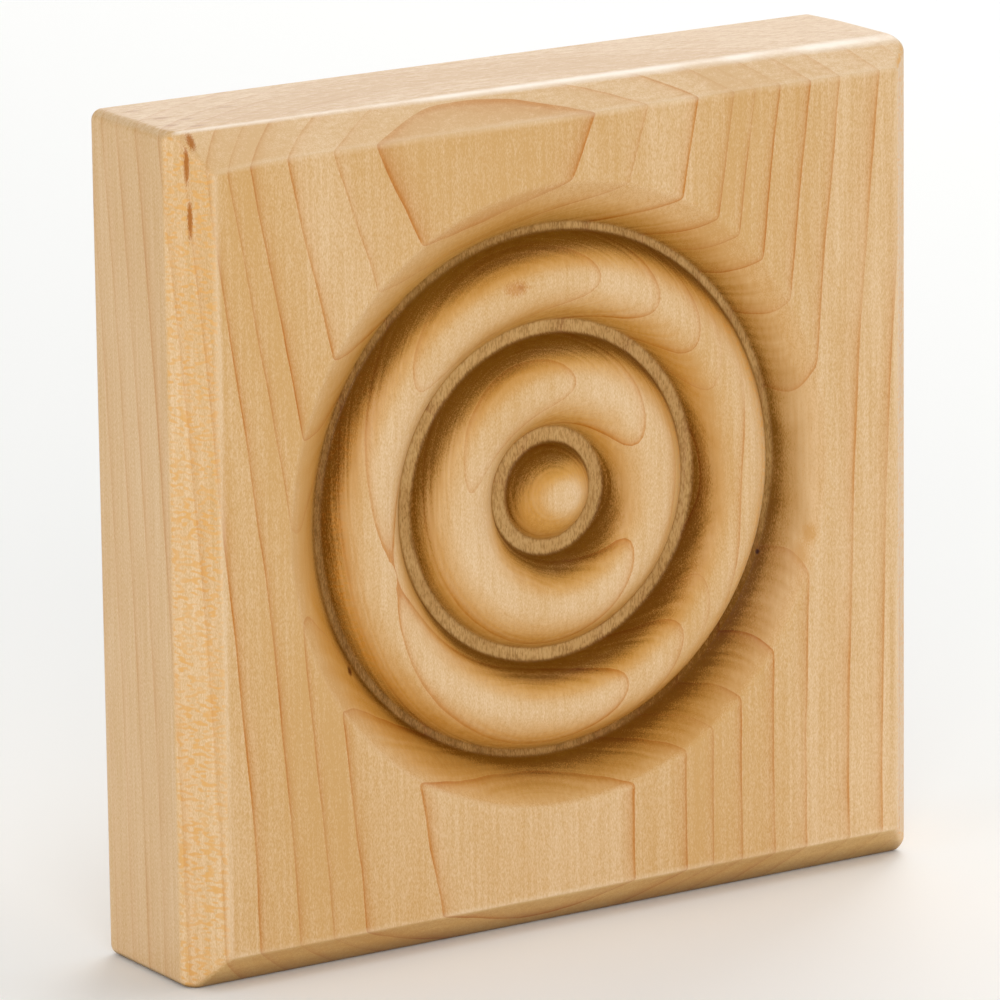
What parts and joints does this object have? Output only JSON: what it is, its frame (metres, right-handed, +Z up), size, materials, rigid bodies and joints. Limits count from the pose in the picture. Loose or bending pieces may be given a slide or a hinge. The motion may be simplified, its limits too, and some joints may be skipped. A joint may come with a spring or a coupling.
{
  "type": "corner rosette block",
  "caption": "Square maple corner block for door and window trim, with bevelled face edges and a turned bull's-eye of concentric beads round a domed button.",
  "frame": {"origin": "centre of the flat back face, which goes against the wall", "axes": "+X to the right seen from the room, +Y into the wall, +Z up along the grain; the carved face looks along -Y"},
  "size_m": [0.0888, 0.0191, 0.0888],
  "materials": {
    "maple": "bare hard maple, planed, turned and sanded"
  },
  "bodies": {
    "root": {"rosette_block": "maple"}
  },
  "joints": []
}
